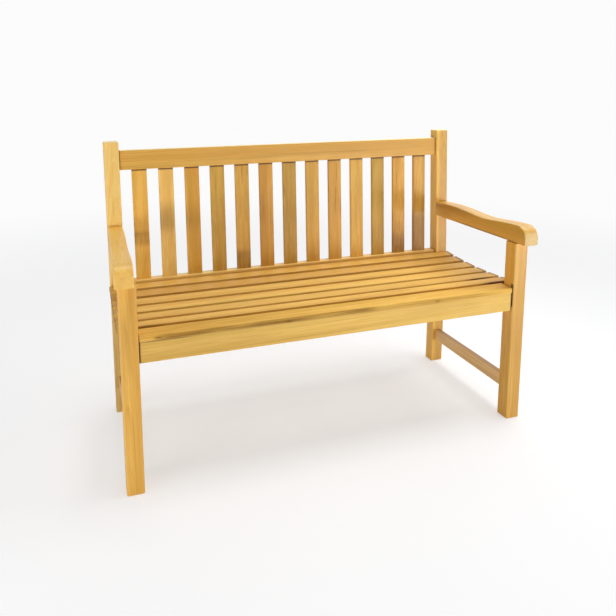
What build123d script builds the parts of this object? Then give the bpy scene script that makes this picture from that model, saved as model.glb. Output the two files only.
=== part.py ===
from build123d import *
import os
from dataclasses import dataclass
from math import asin, atan2, cos, degrees, sin, sqrt, tan

# Slatted wooden garden bench, in millimetres.
# +X is the bench's right as seen from the front, the front faces -Y and +Z is up.
# The origin is on the floor, under the middle of the bench.

# Overall size
overall_width = 1238.0
overall_depth = 514.0
overall_height = 884.0

# Legs
leg_width = 46.0
front_leg_depth = 45.0
rear_leg_depth = 42.0
rear_foot_splay = 6.0
bend_height = 425.0
back_rake = 22.0
leg_easing = 4.0
foot_chamfer = 2.0

# Arms: a level underside, a wavy top and a round nose that stands out past the leg
arm_underside = 571.0
arm_overhang = 30.0
arm_flare = 9.0
arm_nose_width = 48.0
arm_nose_height = 56.0
arm_nose_radius = 38.0
arm_dip_height = 45.5
arm_dip_reach = 264.0
arm_hump_height = 53.5
arm_hump_reach = 108.0
arm_rear_height = 49.5
arm_rear_slope = 0.05
arm_easing = 3.0
arm_tenon_width = 20.0
arm_tenon_height = 28.0
leg_top_tenon_side = 24.0
leg_top_tenon_height = 22.0

# Seat: a shallow dish of boards that run the whole width, and a level board in front
seat_height = 424.0
seat_dish_radius = 1700.0
seat_board_thickness = 15.0
seat_board_count = 5
seat_board_gap = 17.0
rear_board_width = 38.0
rear_board_clearance = 1.5
front_board_width = 51.0
front_board_rise = 8.0
front_board_setback = 3.0
front_board_round = 7.0
front_board_end_gap = 2.0
leg_board_gap = 22.0
board_easing = 2.0
board_end_round = 3.0
board_overhang = 4.0

# Rails that tie the two side frames together
front_rail_height = 59.0
front_rail_thickness = 26.0
front_rail_setback = 5.0
back_rail_thickness = 32.0
back_rail_setback = 8.0
top_rail_height = 62.0
top_rail_drop = 27.0
lower_rail_height = 60.0
lower_rail_rise = 17.0
rail_easing = 3.0
rail_tenon_length = 18.0

# Back slats
back_slat_count = 13
back_slat_width = 47.0
back_slat_thickness = 12.0
back_slat_housing = 12.0
back_slat_easing = 1.5

# Side rails, centre bearer and low stretchers
bearer_thickness = 24.0
stretcher_thickness = 20.0
stretcher_height = 40.0
stretcher_underside = 86.0
stretcher_easing = 2.0
side_tenon_length = 16.0
bearer_stub_length = 9.0
tenon_thickness = 10.0
tenon_shoulder = 8.0

# Hardware
bolt_radius = 3.0
bolt_length = 100.0
bolt_head_radius = 5.0
bolt_head_height = 6.0
bolt_socket_across = 5.0
bolt_socket_depth = 3.0
washer_radius = 8.0
washer_thickness = 1.6
bolt_recess_depth = 10.0
nut_radius = 5.0
nut_length = 16.0
nut_overrun = 6.0
peg_radius = 4.0
peg_length = 32.0
peg_inset = 0.5
screw_radius = 2.0
screw_length = 38.0
screw_bite = 9.0
screw_head_radius = 4.0
screw_head_height = 3.0
front_screw_count = 4
front_screw_inset = 100.0

# Clearances of what fits together
tenon_clearance = 0.2
drill_clearance = 0.15
cutter_overrun = 5.0

# Places worked out from the sizes above
half_width = overall_width / 2 - arm_flare
inner_half = half_width - leg_width
leg_centre = half_width - leg_width / 2
nose_y = -overall_depth / 2
front_leg_y = nose_y + arm_overhang
front_leg_back_y = front_leg_y + front_leg_depth
bend_y = overall_depth / 2 - rear_leg_depth - back_rake
rake_angle = atan2(back_rake, overall_height - bend_height)
rail_underside = seat_height + front_board_rise - seat_board_thickness - front_rail_height

rear_board_back_y = bend_y - rear_board_clearance
rear_board_front_y = rear_board_back_y - rear_board_width
dish_front_y = front_leg_back_y + leg_board_gap
dish_centre_y = (rear_board_back_y + dish_front_y) / 2
seat_board_pitch = (rear_board_front_y - dish_front_y) / seat_board_count
seat_board_width = seat_board_pitch - seat_board_gap

back_plane = Plane(
    origin=(0, bend_y, bend_height),
    x_dir=(1, 0, 0),
    z_dir=(0, -cos(rake_angle), sin(rake_angle)),
)


@dataclass(frozen=True)
class Rail:
    """A rail between the side frames: its frame has X along it, Y up its face and Z to the front."""

    frame: Location
    height: float
    thickness: float


@dataclass(frozen=True)
class Board:
    """A seat board: the middle of its top face, its width and its tilt about X in degrees."""

    y: float
    z: float
    width: float
    tilt: float

    def place(self) -> Location:
        return Pos(0, self.y, self.z) * Rot(self.tilt, 0, 0)

    def underside(self, across: float) -> tuple:
        point = (self.place() * Pos(0, across, -seat_board_thickness)).position
        return (point.Y, point.Z)


def up_the_back(z):
    """Distance up the raked back plane to a height."""
    return (z - bend_height) / cos(rake_angle)


def rear_leg_front(z):
    """Y of the rear leg's front face at a height."""
    if z < bend_height:
        return bend_y + rear_foot_splay * (bend_height - z) / bend_height
    return bend_y + (z - bend_height) * tan(rake_angle)


def lower_rail_front(z):
    """Y of the lower back rail's front face at a height."""
    return bend_y + back_rail_setback / cos(rake_angle) + (z - bend_height) * tan(rake_angle)


def back_rail(top_z, height):
    """A rail let into the raked back, given the height of its top face."""
    middle = up_the_back(top_z) - height / 2
    inward = -back_rail_setback - back_rail_thickness / 2
    return Rail(back_plane.location * Pos(0, middle, inward), height, back_rail_thickness)


def level_rail(front_y, underside, height, thickness):
    """An upright rail, given its front face and its underside."""
    middle = (0, front_y + thickness / 2, underside + height / 2)
    plane = Plane(origin=middle, x_dir=(1, 0, 0), z_dir=(0, -1, 0))
    return Rail(plane.location, height, thickness)


def dish_board(front_y, width):
    """A seat board that lies on the dish."""
    y = front_y + width / 2
    offset = y - dish_centre_y
    z = seat_height + seat_dish_radius - sqrt(seat_dish_radius**2 - offset**2)
    return Board(y, z, width, degrees(asin(offset / seat_dish_radius)))


front_rail_y = front_leg_y + front_rail_setback
front_rail = level_rail(front_rail_y, rail_underside, front_rail_height, front_rail_thickness)
top_rail = back_rail(overall_height - top_rail_drop, top_rail_height)
lower_rail = back_rail(seat_height + lower_rail_rise, lower_rail_height)
front_rail_back_y = front_rail_y + front_rail_thickness
front_rail_middle_y = front_rail_y + front_rail_thickness / 2

dish_boards = [dish_board(rear_board_front_y, rear_board_width)]
for step in range(1, seat_board_count + 1):
    dish_boards.append(dish_board(rear_board_front_y - step * seat_board_pitch, seat_board_width))
front_board = Board(
    front_leg_y + front_board_setback + front_board_width / 2,
    seat_height + front_board_rise,
    front_board_width,
    0.0,
)


def block(x_span, y_span, z_span):
    """A box between pairs of coordinates."""
    sizes = [span[1] - span[0] for span in (x_span, y_span, z_span)]
    middle = [(span[0] + span[1]) / 2 for span in (x_span, y_span, z_span)]
    return Pos(*middle) * Box(*sizes)


def about(middle, size, grow=0.0):
    """A span of a size about a middle, with the same growth at both ends."""
    return (middle - size / 2 - grow, middle + size / 2 + grow)


def side_profile(points, thickness, x_middle):
    """An outline of (y, z) points made into a board that stands along X."""
    face = make_face(Plane.YZ * Polyline(*points, close=True))
    return Pos(x_middle - thickness / 2, 0, 0) * extrude(face, thickness, dir=(1, 0, 0))


def rod_along_x(radius, x_span, y, z):
    """A round bar along X."""
    middle = (x_span[0] + x_span[1]) / 2
    return Pos(middle, y, z) * Rot(0, 90, 0) * Cylinder(radius, abs(x_span[1] - x_span[0]))


def rod_along_z(radius, x, y, z_span):
    """An upright round bar."""
    return Pos(x, y, (z_span[0] + z_span[1]) / 2) * Cylinder(radius, z_span[1] - z_span[0])


def rail_tenon(rail, side, grow=0.0):
    """The tenon on one end of a rail, or its mortise when it is grown."""
    span = (inner_half - tenon_shoulder, inner_half + rail_tenon_length + grow)
    middle = side * (span[0] + span[1]) / 2
    height = rail.height - 2 * tenon_shoulder
    size = (span[1] - span[0], height + 2 * grow, tenon_thickness + 2 * grow)
    return rail.frame * Pos(middle, 0, 0) * Box(*size)


def side_tenon(y_shoulder, direction, z_span, side, length, grow=0.0):
    """A tenon that runs along Y into a leg or rail, or its mortise when it is grown."""
    root = y_shoulder - direction * tenon_shoulder
    tip = y_shoulder + direction * (length + grow)
    x_span = about(side * leg_centre, tenon_thickness, grow)
    return block(x_span, (min(root, tip), max(root, tip)), (z_span[0] - grow, z_span[1] + grow))


def side_rail_tenons(side, grow=0.0):
    """Both tenons of a side rail: front leg first."""
    span = (rail_underside + tenon_shoulder, min(top for _, top in bearer_top()) - tenon_shoulder)
    rear = rear_leg_front((span[0] + span[1]) / 2)
    front_tenon = side_tenon(front_leg_back_y, -1, span, side, side_tenon_length, grow)
    return front_tenon, side_tenon(rear, 1, span, side, side_tenon_length, grow)


def stretcher_tenons(side, grow=0.0):
    """Both tenons of a low stretcher: front leg first."""
    top = stretcher_underside + stretcher_height
    span = (stretcher_underside + tenon_shoulder, top - tenon_shoulder)
    rear = rear_leg_front((span[0] + span[1]) / 2)
    front_tenon = side_tenon(front_leg_back_y, -1, span, side, side_tenon_length, grow)
    return front_tenon, side_tenon(rear, 1, span, side, side_tenon_length, grow)


def arm_middle():
    """Height of the middle of the arm's rear end."""
    return arm_underside + arm_rear_height / 2


def arm_tenon(side, grow=0.0):
    """The tenon on the rear end of an arm, or its mortise when it is grown."""
    shoulder = rear_leg_front(arm_middle())
    y_span = (shoulder - tenon_shoulder, shoulder + side_tenon_length + grow)
    x_span = about(side * leg_centre, arm_tenon_width, grow)
    return block(x_span, y_span, about(arm_middle(), arm_tenon_height, grow))


def leg_top_tenon(side, grow=0.0):
    """The tenon on top of a front leg, or its mortise when it is grown."""
    x_span = about(side * leg_centre, leg_top_tenon_side, grow)
    y_span = about(front_leg_y + front_leg_depth / 2, leg_top_tenon_side, grow)
    z_span = (arm_underside - tenon_shoulder, arm_underside + leg_top_tenon_height + grow)
    return block(x_span, y_span, z_span)


def centre_stubs(grow=0.0):
    """Both stub tenons of the centre bearer: front rail first."""
    lower_rail_underside = lower_rail.frame.position.Z - lower_rail.height / 2
    middle = (lower_rail_underside + rail_underside + front_rail_height) / 2
    low, high = about(middle, tenon_thickness)
    rear = lower_rail_front(middle)
    stubs = []
    for shoulder, direction in ((front_rail_back_y, -1), (rear, 1)):
        stub = side_tenon(shoulder, direction, (low, high), 0, bearer_stub_length, grow)
        stubs.append(stub)
    return stubs


def peg_places():
    """The (x, y, z) of each peg's mouth: front then rear, for side rail, stretcher and arm."""
    places = []
    for tenons in (side_rail_tenons(1), stretcher_tenons(1)):
        z = tenons[0].center().Z
        places.append((half_width, front_leg_back_y - side_tenon_length / 2, z))
        places.append((half_width, rear_leg_front(z) + side_tenon_length / 2, z))
    leg_middle_y = front_leg_y + front_leg_depth / 2
    nose_share = (rear_leg_front(arm_middle()) - leg_middle_y) / (rear_leg_front(arm_middle()) - nose_y)
    arm_face = half_width + arm_flare * nose_share
    places.append((arm_face, leg_middle_y, arm_underside + leg_top_tenon_height / 2))
    places.append((half_width, rear_leg_front(arm_middle()) + side_tenon_length / 2, arm_middle()))
    return places


def peg_bars(side, radius, mouth):
    """Bars on the peg axes of one side frame, from the pegs' tips to a mouth outside the face."""
    bars = []
    for x, y, z in peg_places():
        x_span = (side * (x - peg_inset - peg_length), side * (x + mouth))
        bars.append(rod_along_x(radius, x_span, y, z))
    return bars


def peg_holes(side):
    """The peg holes of one side frame."""
    return peg_bars(side, peg_radius + drill_clearance, cutter_overrun)


def bolt_head_seat():
    """X of the washer's outer face, under a bolt head."""
    return half_width - bolt_recess_depth + washer_thickness


def nut_x():
    """X of a barrel nut's axis."""
    return bolt_head_seat() - bolt_length + nut_overrun


def along_bolt(rail, side, radius, near, far):
    """A round bar on a rail's bolt axis between two distances from the bench's middle."""
    middle = rail.frame * Pos(side * (near + far) / 2, 0, 0)
    return middle * Rot(0, 90, 0) * Cylinder(radius, far - near)


def bolt_bore(rail, side):
    """The hole that a bolt runs in, with the recess for its head."""
    tip = bolt_head_seat() - bolt_length - cutter_overrun
    recess_floor = half_width - bolt_recess_depth
    shank = along_bolt(rail, side, bolt_radius + drill_clearance, tip, recess_floor + cutter_overrun)
    recess_radius = washer_radius + drill_clearance
    return shank + along_bolt(rail, side, recess_radius, recess_floor, half_width + cutter_overrun)


def nut_bar(rail, side, radius, length, shift=0.0):
    """A round bar across a rail at its barrel nut."""
    return rail.frame * Pos(side * nut_x(), 0, shift) * Cylinder(radius, length)


def nut_bore(rail, side):
    """The hole that a barrel nut is pushed into, from the rail's rear face."""
    depth = (rail.thickness + nut_length) / 2
    shift = -(rail.thickness - depth) / 2
    return nut_bar(rail, side, nut_radius + drill_clearance, depth, shift)


def screw_seats(board):
    """Height of the screw heads' bearing faces under a board."""
    return board.underside(0)[1] + screw_bite - screw_length


def screw_bores(x, boards):
    """The screw holes and head recesses of the boards that cross at an X, cut from below."""
    bores = []
    for board in boards:
        seat = screw_seats(board)
        tip = seat + screw_length + drill_clearance
        bores.append(rod_along_z(screw_radius + drill_clearance, x, screw_y(board), (seat, tip)))
        floor = rail_underside - cutter_overrun
        recess_radius = screw_head_radius + drill_clearance
        bores.append(rod_along_z(recess_radius, x, screw_y(board), (floor, seat)))
    return bores


def screw_y(board):
    """Y of the screws of a board: the middle of what it lies on."""
    return front_rail_middle_y if board is front_board else board.underside(0)[0]


def bearer_lines():
    """X of the left rail, the centre bearer and the right rail."""
    return (-leg_centre, 0.0, leg_centre)


def front_screw_lines():
    """X of the screws that hold the front board."""
    reach = inner_half - front_screw_inset
    step = 2 * reach / (front_screw_count - 1)
    return [step * index - reach for index in range(front_screw_count)]


def make_front_leg(side):
    x_span = about(side * leg_centre, leg_width)
    leg = block(x_span, (front_leg_y, front_leg_back_y), (0, arm_underside))
    leg = fillet(leg.edges().filter_by(Axis.Z), leg_easing)
    leg = chamfer(leg.faces().sort_by(Axis.Z)[0].edges(), foot_chamfer)
    leg += leg_top_tenon(side)
    leg -= rail_tenon(front_rail, side, tenon_clearance)
    leg -= side_rail_tenons(side, tenon_clearance)[0]
    leg -= stretcher_tenons(side, tenon_clearance)[0]
    leg -= bolt_bore(front_rail, side)
    return leg - peg_holes(side)


def make_rear_leg(side):
    front = [(rear_leg_front(z), z) for z in (0.0, bend_height, overall_height)]
    back = [(y + rear_leg_depth, z) for y, z in reversed(front)]
    leg = side_profile(front + back, leg_width, side * leg_centre)
    long_edges = leg.edges().filter_by(lambda edge: edge.length > leg_width + rear_leg_depth)
    leg = fillet(long_edges, leg_easing)
    leg = chamfer(leg.faces().sort_by(Axis.Z)[0].edges(), foot_chamfer)
    leg = fillet(leg.faces().sort_by(Axis.Z)[-1].edges(), leg_easing)
    leg -= side_rail_tenons(side, tenon_clearance)[1]
    leg -= stretcher_tenons(side, tenon_clearance)[1]
    leg -= arm_tenon(side, tenon_clearance)
    for rail in (top_rail, lower_rail):
        leg -= rail_tenon(rail, side, tenon_clearance)
        leg -= bolt_bore(rail, side)
    return leg - peg_holes(side)


def arm_side_face():
    """The arm's side view as a face in the YZ plane."""
    rear_top = arm_underside + arm_rear_height
    rear_y = rear_leg_front(rear_top)
    crest = (nose_y + arm_nose_radius, arm_underside + arm_nose_height)
    brow = (nose_y, crest[1] - arm_nose_radius)
    wave = [
        (rear_y, rear_top),
        (rear_y - arm_hump_reach, arm_underside + arm_hump_height),
        (rear_y - arm_dip_reach, arm_underside + arm_dip_height),
        crest,
    ]
    heel = (rear_leg_front(arm_underside), arm_underside)
    outline = Curve() + [
        Spline(*wave, tangents=((-1, arm_rear_slope), (-1, 0))),
        RadiusArc(crest, brow, -arm_nose_radius),
        Polyline(brow, (nose_y, arm_underside), heel, wave[0]),
    ]
    return make_face(Plane.YZ * outline)


def arm_plan_face(side):
    """The arm's plan as a face on the floor: flush with the rear leg, flared at the nose."""
    rear_y = rear_leg_front(arm_underside + arm_rear_height)
    nose_out = half_width + arm_flare
    plan = [(half_width, rear_y), (nose_out, nose_y), (nose_out - arm_nose_width, nose_y), (inner_half, rear_y)]
    return make_face(Polyline(*[(side * x, y) for x, y in plan], close=True))


def make_arm(side):
    length = overall_width
    arm = Pos(-length / 2, 0, 0) * extrude(arm_side_face(), length, dir=(1, 0, 0))
    arm &= extrude(arm_plan_face(side), overall_height, dir=(0, 0, 1))
    cheeks = arm.faces().filter_by(lambda face: abs(face.normal_at().X) > cos(rake_angle))
    joint_y = rear_leg_front(arm_underside) - arm_easing
    rim = cheeks.edges().filter_by(lambda edge: edge.center().Y < joint_y)
    arm = fillet(rim, arm_easing)
    arm += arm_tenon(side)
    arm -= leg_top_tenon(side, tenon_clearance)
    return arm - peg_holes(side)


def make_cross_rail(rail):
    body = rail.frame * Box(2 * inner_half, rail.height, rail.thickness)
    body = fillet(body.edges(), rail_easing)
    for side in (-1, 1):
        body += rail_tenon(rail, side)
        body -= bolt_bore(rail, side)
        body -= nut_bore(rail, side)
    return body


def make_front_rail():
    body = make_cross_rail(front_rail) - centre_stubs(tenon_clearance)[0]
    for x in front_screw_lines():
        body -= screw_bores(x, [front_board])
    return body


def make_top_rail():
    return make_cross_rail(top_rail) - [slat_bar(number, tenon_clearance) for number in slat_numbers()]


def make_lower_rail():
    body = make_cross_rail(lower_rail) - centre_stubs(tenon_clearance)[1]
    return body - [slat_bar(number, tenon_clearance) for number in slat_numbers()]


def slat_numbers():
    """The back slats, counted from the left."""
    return range(1, back_slat_count + 1)


def slat_bar(number, grow=0.0):
    """A back slat from housing floor to housing floor, or its housings when it is grown."""
    x = (number - (back_slat_count + 1) / 2) * (back_slat_width + slat_gap())
    top_seat = up_the_back(overall_height - top_rail_drop) - top_rail_height + back_slat_housing
    low_seat = up_the_back(seat_height + lower_rail_rise) - back_slat_housing
    inward = -back_rail_setback - back_rail_thickness / 2
    size = (back_slat_width + 2 * grow, top_seat - low_seat, back_slat_thickness + 2 * grow)
    return back_plane.location * Pos(x, (top_seat + low_seat) / 2, inward) * Box(*size)


def slat_gap():
    """Clear space between two back slats, and between the end slats and the rear legs."""
    return (2 * inner_half - back_slat_count * back_slat_width) / (back_slat_count + 1)


def make_back_slat(number):
    slat = slat_bar(number)
    long_edges = slat.edges().filter_by(lambda edge: edge.length > back_slat_width)
    return fillet(long_edges, back_slat_easing)


def bearer_top():
    """The (y, z) points under the dish boards, from the rear to the front."""
    points = []
    for board in dish_boards:
        points.append(board.underside(board.width / 2))
        points.append(board.underside(-board.width / 2))
    return points


def bearer_outline(front_points, rear_line):
    """A bearer's outline, with its front end's top points and a rear end that follows a line."""
    top = bearer_top()
    rear = [(rear_line(rail_underside), rail_underside), (rear_line(top[0][1]), top[0][1])]
    return rear + top + front_points + [(front_points[-1][0], rail_underside)]


def make_side_rail(side):
    outline = bearer_outline([(front_leg_back_y, bearer_top()[-1][1])], rear_leg_front)
    rail = side_profile(outline, bearer_thickness, side * leg_centre)
    rail += side_rail_tenons(side)
    rail -= screw_bores(side * leg_centre, dish_boards)
    return rail - peg_holes(side)


def make_centre_bearer():
    step_y = front_board.y + front_board_width / 2 + front_board_end_gap
    ledge = front_board.underside(0)[1]
    step = [(step_y, bearer_top()[-1][1]), (step_y, ledge), (front_rail_back_y, ledge)]
    outline = bearer_outline(step, lower_rail_front)
    bearer = side_profile(outline, bearer_thickness, 0.0) + centre_stubs()
    return bearer - screw_bores(0.0, dish_boards)


def make_stretcher(side):
    top = stretcher_underside + stretcher_height
    outline = [
        (front_leg_back_y, stretcher_underside),
        (rear_leg_front(stretcher_underside), stretcher_underside),
        (rear_leg_front(top), top),
        (front_leg_back_y, top),
    ]
    bar = side_profile(outline, stretcher_thickness, side * leg_centre)
    bar = fillet(bar.edges().filter_by(Axis.Y), stretcher_easing)
    return bar + stretcher_tenons(side) - peg_holes(side)


def make_dish_board(board):
    plank = Box(2 * (half_width + board_overhang), board.width, seat_board_thickness)
    plank = fillet(plank.faces().sort_by(Axis.Z)[-1].edges().filter_by(Axis.Y), board_end_round)
    sharp = plank.edges().filter_by(Axis.Y, reverse=True)
    sharp += plank.faces().sort_by(Axis.Z)[0].edges().filter_by(Axis.Y)
    plank = board.place() * Pos(0, 0, -seat_board_thickness / 2) * fillet(sharp, board_easing)
    for x in bearer_lines():
        plank -= screw_bores(x, [board])
    return plank


def make_front_board():
    length = 2 * (inner_half - front_board_end_gap)
    plank = front_board.place() * Pos(0, 0, -seat_board_thickness / 2)
    plank = plank * Box(length, front_board.width, seat_board_thickness)
    brow = plank.edges().filter_by(Axis.X).group_by(Axis.Y)[0].sort_by(Axis.Z)[-1]
    plank = fillet(brow, front_board_round)
    sharp = plank.edges().filter_by(Axis.X).group_by(Axis.Y)[-1]
    plank = fillet(sharp, board_easing)
    for x in front_screw_lines():
        plank -= screw_bores(x, [front_board])
    return plank


def bolted_ends():
    """Each rail that bolts to the side frames, with each of its ends."""
    return [(rail, side) for rail in (front_rail, top_rail, lower_rail) for side in (-1, 1)]


def make_bolts():
    bolts = []
    seat = bolt_head_seat()
    for rail, side in bolted_ends():
        bolt = along_bolt(rail, side, bolt_radius, seat - bolt_length, seat)
        bolt += along_bolt(rail, side, bolt_head_radius, seat, seat + bolt_head_height)
        socket = RegularPolygon(bolt_socket_across / 2, 6, major_radius=False)
        socket = extrude(socket, bolt_socket_depth)
        mouth = seat + bolt_head_height - bolt_socket_depth
        bolt -= rail.frame * Pos(side * mouth, 0, 0) * Rot(0, side * 90, 0) * socket
        bolts.append(bolt)
    return bolts


def make_washers():
    washers = []
    seat = bolt_head_seat()
    for rail, side in bolted_ends():
        washer = along_bolt(rail, side, washer_radius, seat - washer_thickness, seat)
        bore = along_bolt(rail, side, bolt_radius + drill_clearance, seat - bolt_length, seat + cutter_overrun)
        washers.append(washer - bore)
    return washers


def make_barrel_nuts():
    nuts = []
    for rail, side in bolted_ends():
        nuts.append(nut_bar(rail, side, nut_radius, nut_length) - bolt_bore(rail, side))
    return nuts


def make_pegs():
    return [peg for side in (-1, 1) for peg in peg_bars(side, peg_radius, -peg_inset)]


def make_screws():
    places = [(x, board) for board in dish_boards for x in bearer_lines()]
    places += [(x, front_board) for x in front_screw_lines()]
    screws = []
    for x, board in places:
        seat = screw_seats(board)
        y = screw_y(board)
        shank = rod_along_z(screw_radius, x, y, (seat, seat + screw_length))
        screws.append(shank + rod_along_z(screw_head_radius, x, y, (seat - screw_head_height, seat)))
    return screws


def make_nodes():
    """Every sub-part of the bench under its node's name."""
    nodes = {}
    for name, side in (("left", -1), ("right", 1)):
        nodes[f"front_leg_{name}"] = make_front_leg(side)
        nodes[f"rear_leg_{name}"] = make_rear_leg(side)
        nodes[f"arm_{name}"] = make_arm(side)
        nodes[f"side_rail_{name}"] = make_side_rail(side)
        nodes[f"stretcher_{name}"] = make_stretcher(side)
    nodes["front_rail"] = make_front_rail()
    nodes["top_rail"] = make_top_rail()
    nodes["lower_back_rail"] = make_lower_rail()
    nodes["centre_bearer"] = make_centre_bearer()
    for number in slat_numbers():
        nodes[f"back_slat_{number:02d}"] = make_back_slat(number)
    for number, board in enumerate(dish_boards, start=1):
        nodes[f"seat_board_{number}"] = make_dish_board(board)
    nodes["front_seat_board"] = make_front_board()
    groups = {
        "frame_bolts": make_bolts(),
        "bolt_washers": make_washers(),
        "barrel_nuts": make_barrel_nuts(),
        "tenon_pegs": make_pegs(),
        "seat_screws": make_screws(),
    }
    for name, solids in groups.items():
        nodes[name] = Compound(children=solids)
    return nodes


os.makedirs("parts", exist_ok=True)
for node_name, shape in make_nodes().items():
    export_step(shape, f"parts/{node_name}.step")
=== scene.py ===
"""Looks of a slatted wooden garden bench: its timber, its fasteners, the studio and the camera."""

import logging
import math
import random
from dataclasses import dataclass, field
from enum import Enum

import bmesh
import bpy
from mathutils import Euler, Matrix, Vector

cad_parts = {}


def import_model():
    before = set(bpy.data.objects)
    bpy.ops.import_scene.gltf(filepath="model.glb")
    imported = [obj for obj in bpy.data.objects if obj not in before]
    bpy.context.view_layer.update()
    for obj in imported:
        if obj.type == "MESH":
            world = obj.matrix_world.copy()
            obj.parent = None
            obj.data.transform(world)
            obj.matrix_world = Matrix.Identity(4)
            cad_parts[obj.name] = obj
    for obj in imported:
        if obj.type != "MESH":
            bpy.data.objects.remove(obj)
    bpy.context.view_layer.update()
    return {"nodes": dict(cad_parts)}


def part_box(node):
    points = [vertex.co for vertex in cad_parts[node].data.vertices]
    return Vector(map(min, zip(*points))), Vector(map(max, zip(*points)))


LOG = logging.getLogger("garden_bench")
FRAME_PIXELS = 616
SENSOR_WIDTH = 36.0

Colour = tuple[float, float, float, float]
Triple = tuple[float, float, float]
Pair = tuple[float, float]
Shade = tuple[float, float, float, float]
Socket = bpy.types.NodeSocket
Material = bpy.types.Material
Nodes = dict[str, bpy.types.Object]

# How a screen's values turn into light
SCREEN_FULL = 255
SCREEN_STEP = 0.04045
SCREEN_SLOPE = 12.92
SCREEN_LIFT = 0.055
SCREEN_POWER = 2.4

# Vector operations that give a number
NUMBER_RESULTS = ("LENGTH", "DOT_PRODUCT")

# Sockets of a Mix node that blends colours
MIX_SHARE = 0
MIX_FIRST = 6
MIX_SECOND = 7
MIX_RESULT = 2


def from_screen(red: int, green: int, blue: int) -> Colour:
    """Turn a colour as a screen shows it into the linear colour that a shader takes.

    Args:
        red: red as shown, from 0 to 255.
        green: green as shown, from 0 to 255.
        blue: blue as shown, from 0 to 255.

    Returns:
        The linear colour with full opacity.
    """
    linear = []
    for part in (red, green, blue):
        share = part / SCREEN_FULL
        if share <= SCREEN_STEP:
            linear.append(share / SCREEN_SLOPE)
        else:
            linear.append(((share + SCREEN_LIFT) / (1.0 + SCREEN_LIFT)) ** SCREEN_POWER)
    return (linear[0], linear[1], linear[2], 1.0)


@dataclass(frozen=True)
class Pattern:
    """A noise in a surface.

    Attributes:
        pick: sets it apart from the surface's other noises.
        waves: its waves for each metre along X, Y and Z; in timber X runs along the log.
        span: the noise where it starts to show and where it is full.
        detail: how many finer layers it has.
    """

    pick: float
    waves: Triple
    span: Pair = (0.0, 1.0)
    detail: float = 2.5


# Patterns in timber
FIBRES = Pattern(1.0, (9.0, 420.0, 420.0), (0.35, 0.7), 3.0)
PORES = Pattern(2.0, (30.0, 1300.0, 1300.0), (0.58, 0.72), 2.0)
WANDER = Pattern(3.0, (1.6, 11.0, 11.0), detail=1.5)
CLEAR_RINGS = Pattern(4.0, (0.9, 26.0, 26.0), (0.35, 0.65), 2.0)
BANDS = Pattern(5.0, (0.7, 36.0, 36.0), (0.42, 0.64))
STAINS = Pattern(6.0, (2.6, 20.0, 20.0), (0.54, 0.76))
OLIVE_BANDS = Pattern(8.0, (0.5, 26.0, 26.0), (0.48, 0.66))
DARK_STREAKS = Pattern(9.0, (1.0, 150.0, 150.0), (0.60, 0.74))

# Growth rings: where late wood builds up and ends in a ring, the least that shows, and how uneven they are
LATE_RISE = (0.25, 0.9)
LATE_FALL = (0.93, 1.0)
RING_LEAST = 0.35
UNEVEN_WAVES = 0.45
UNEVEN_DEPTH = 1.6

# Knots and dark lengths, which mostly paint shade: how far a knot pushes the rings, where each is darkest,
# and how fibres break its edge
KNOT_PUSH = 0.6
KNOT_HEART = 0.1
STREAK_CORE = 0.65
BROKEN_SPAN = (0.25, 0.6)
BROKEN_LEAST = 0.6

# How much a face has to look up to turn some and to turn wholly to the painted colour of upper faces, a
# painted highlight on some planks and a painted shade on others
UP_TURN = (0.3, 0.9)

# Timber's roughness, heights of its grain as shares of the relief, and depths of its pores and of the
# painted shade at joint lines
FIBRE_ROUGHNESS = 0.16
END_ROUGHNESS = 0.2
RING_HEIGHT = 0.4
PORE_HEIGHT = 0.6
FIBRE_HEIGHT = 0.6
GRAIN_BUMP = 0.35
PORE_DEPTH = 0.22
JOINT_SHADE_DEPTH = 0.85

# Colours that every timber shares; the knot brown also paints shade, and the joint brown paints shade at
# joints
OLIVE_FILTER = (0.80, 0.84, 0.62, 1.0)
MARK_AND_SHADE_BROWN = from_screen(98, 50, 2)
JOINT_SHADE_BROWN = from_screen(58, 34, 14)
WHITE = (1.0, 1.0, 1.0, 1.0)

# How planks of a kind differ: seeds, lightness, warmth, place of the log's heart and its lean
SEED_SPAN = (0.0, 90.0)
LIGHT_SPREAD = (0.94, 1.04)
WARM_SPREAD = (-0.04, 0.04)
HEART_SPREAD = (0.8, 1.3)
LEAN_SPREAD = (-0.012, 0.012)

# The inner face of the right legs, in metres from the bench's middle
LEG_INNER = 0.564


class GrainAxis(Enum):
    """Which way a board's fibres run, as the turn that lays its own X along them."""

    ACROSS = (0.0, 0.0, 0.0)
    DEEP = (0.0, 0.0, math.pi / 2)
    UPRIGHT = (0.0, -math.pi / 2, 0.0)

    def direction(self) -> Vector:
        """Give the fibres' direction as a unit vector."""
        return Euler(self.value).to_matrix() @ Vector((1.0, 0.0, 0.0))


class Sawn(Enum):
    """Where the log's heart lies from the middle of a board, across it and through it, in metres."""

    QUARTER = (0.085, 0.012)
    FLAT = (0.010, 0.055)
    RIFT = (0.060, 0.050)


class Tone(Enum):
    """Timber shades: early wood, late wood and dark stain, each as a screen shows it."""

    STRAW = ((255, 218, 130), (248, 195, 100), (206, 150, 70))
    HONEY = ((253, 206, 104), (234, 176, 72), (176, 116, 36))
    GOLD = ((250, 205, 104), (230, 179, 76), (186, 134, 47))
    TOFFEE = ((242, 191, 92), (218, 159, 60), (156, 100, 30))
    AMBER = ((230, 180, 84), (205, 150, 54), (142, 90, 26))
    RUSSET = ((232, 177, 82), (200, 144, 50), (138, 85, 25))
    OLIVE = ((219, 176, 80), (190, 145, 52), (136, 95, 30))
    UMBER = ((244, 205, 142), (220, 177, 112), (164, 118, 66))


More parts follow.
